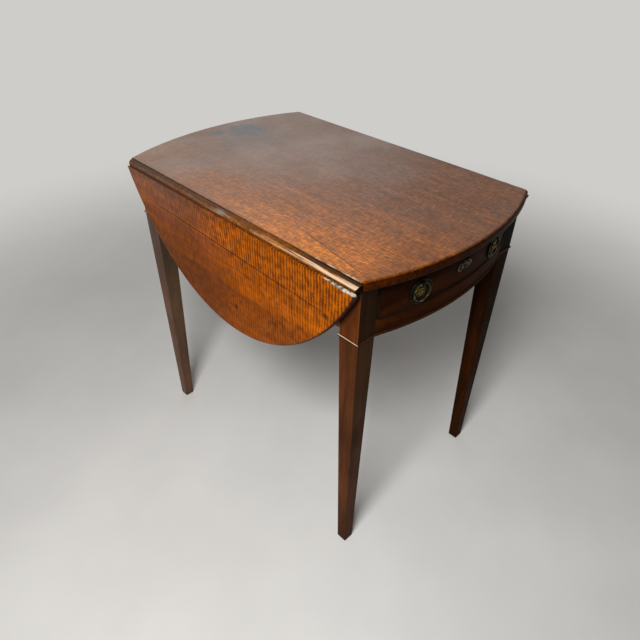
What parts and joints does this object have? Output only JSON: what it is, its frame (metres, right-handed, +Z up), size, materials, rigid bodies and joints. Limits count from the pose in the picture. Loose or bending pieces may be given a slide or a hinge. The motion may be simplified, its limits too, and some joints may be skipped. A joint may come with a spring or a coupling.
{
  "type": "pembroke table",
  "caption": "Antique mahogany drop-leaf table with a bowed frieze drawer, a dummy drawer opposite, ring pulls, rule-jointed leaves, fly brackets and square tapered legs.",
  "frame": {"origin": "on the floor under the middle of the table", "axes": "+Z up, the drawer end faces -Y, the leaves hang along the -X and +X sides"},
  "size_m": [0.518, 0.776, 0.715],
  "materials": {
    "mahogany": "worn french polish",
    "oak": "dry, aged",
    "pine": "dry, aged",
    "beech": "dry, stained",
    "brass": "tarnished",
    "iron": "dull, rusted"
  },
  "bodies": {
    "frame": {"drawer_guide_left": "oak", "drawer_guide_right": "oak", "drawer_kicker_left": "oak", "drawer_kicker_right": "oak", "drawer_runner_left": "oak", "drawer_runner_right": "oak", "drawer_stops": "oak", "fly_pins": "iron", "front_rail_bead": "mahogany", "front_rail_lower": "mahogany", "front_rail_upper": "oak", "hinge_pins": "iron", "hinge_top_plates": "iron", "hinge_top_screws": "iron", "inner_side_rail_left": "pine", "inner_side_rail_right": "pine", "leg_beads": "mahogany", "leg_front_left": "mahogany", "leg_front_right": "mahogany", "leg_rear_left": "mahogany", "leg_rear_right": "mahogany", "outer_rail_ends_left": "beech", "outer_rail_ends_right": "beech", "outer_rail_middle_left": "beech", "outer_rail_middle_right": "beech", "rear_cock_beads": "mahogany", "rear_escutcheon": "brass", "rear_pull_nuts": "brass", "rear_pull_plates": "brass", "rear_pull_posts": "brass", "rear_rail": "mahogany", "rear_rail_bead": "mahogany", "top_board": "mahogany", "top_screws": "iron"},
    "drawer": {"drawer_front": "mahogany", "drawer_side_left": "oak", "drawer_side_right": "oak", "drawer_back": "oak", "drawer_bottom": "oak", "drawer_cock_beads": "mahogany", "drawer_escutcheon": "brass", "lock_case": "brass", "drawer_pull_plates": "brass", "drawer_pull_posts": "brass", "drawer_pull_nuts": "brass"},
    "lock_bolt": {"lock_bolt": "iron"},
    "leaf_left": {"leaf_left": "mahogany", "hinge_leaf_plates_left": "iron", "hinge_leaf_screws_left": "iron"},
    "leaf_right": {"leaf_right": "mahogany", "hinge_leaf_plates_right": "iron", "hinge_leaf_screws_right": "iron"},
    "drawer_ring_left": {"drawer_pull_ring_left": "brass"},
    "drawer_ring_right": {"drawer_pull_ring_right": "brass"},
    "rear_ring_left": {"rear_pull_ring_left": "brass"},
    "rear_ring_right": {"rear_pull_ring_right": "brass"},
    "fly_front_left": {"fly_bracket_front_left": "beech"},
    "fly_front_right": {"fly_bracket_front_right": "beech"},
    "fly_rear_left": {"fly_bracket_rear_left": "beech"},
    "fly_rear_right": {"fly_bracket_rear_right": "beech"}
  },
  "joints": [
    {"name": "drawer_slide", "type": "slide", "parent": "frame", "child": "drawer", "axis": [0, -1, 0], "range_m": [0, 0.32]},
    {"name": "lock_bolt_slide", "type": "slide", "parent": "drawer", "child": "lock_bolt", "axis": [0, 0, 1], "range_m": [0, 0.008]},
    {"name": "leaf_left_hinge", "type": "hinge", "parent": "frame", "child": "leaf_left", "pos_m": [-0.244, 0, 0.7], "axis": [0, 1, 0], "range_deg": [0, 90]},
    {"name": "leaf_right_hinge", "type": "hinge", "parent": "frame", "child": "leaf_right", "pos_m": [0.244, 0, 0.7], "axis": [0, -1, 0], "range_deg": [0, 90]},
    {"name": "drawer_ring_left_swing", "type": "hinge", "parent": "drawer", "child": "drawer_ring_left", "pos_m": [-0.11292, -0.35811, 0.6661], "axis": [-0.9833, 0.1817, 0], "range_deg": [0, 90]},
    {"name": "drawer_ring_right_swing", "type": "hinge", "parent": "drawer", "child": "drawer_ring_right", "pos_m": [0.11292, -0.35811, 0.6661], "axis": [-0.9833, -0.1817, 0], "range_deg": [0, 90]},
    {"name": "rear_ring_left_swing", "type": "hinge", "parent": "frame", "child": "rear_ring_left", "pos_m": [-0.11292, 0.35811, 0.6661], "axis": [0.9833, 0.1817, 0], "range_deg": [0, 90]},
    {"name": "rear_ring_right_swing", "type": "hinge", "parent": "frame", "child": "rear_ring_right", "pos_m": [0.11292, 0.35811, 0.6661], "axis": [0.9833, -0.1817, 0], "range_deg": [0, 90]},
    {"name": "fly_front_left_swing", "type": "hinge", "parent": "frame", "child": "fly_front_left", "pos_m": [-0.2204, -0.048, 0.643], "axis": [0, 0, -1], "range_deg": [0, 5.5]},
    {"name": "fly_front_right_swing", "type": "hinge", "parent": "frame", "child": "fly_front_right", "pos_m": [0.2204, -0.048, 0.643], "axis": [0, 0, 1], "range_deg": [0, 5.5]},
    {"name": "fly_rear_left_swing", "type": "hinge", "parent": "frame", "child": "fly_rear_left", "pos_m": [-0.2204, 0.048, 0.643], "axis": [0, 0, 1], "range_deg": [0, 5.5]},
    {"name": "fly_rear_right_swing", "type": "hinge", "parent": "frame", "child": "fly_rear_right", "pos_m": [0.2204, 0.048, 0.643], "axis": [0, 0, -1], "range_deg": [0, 5.5]}
  ]
}
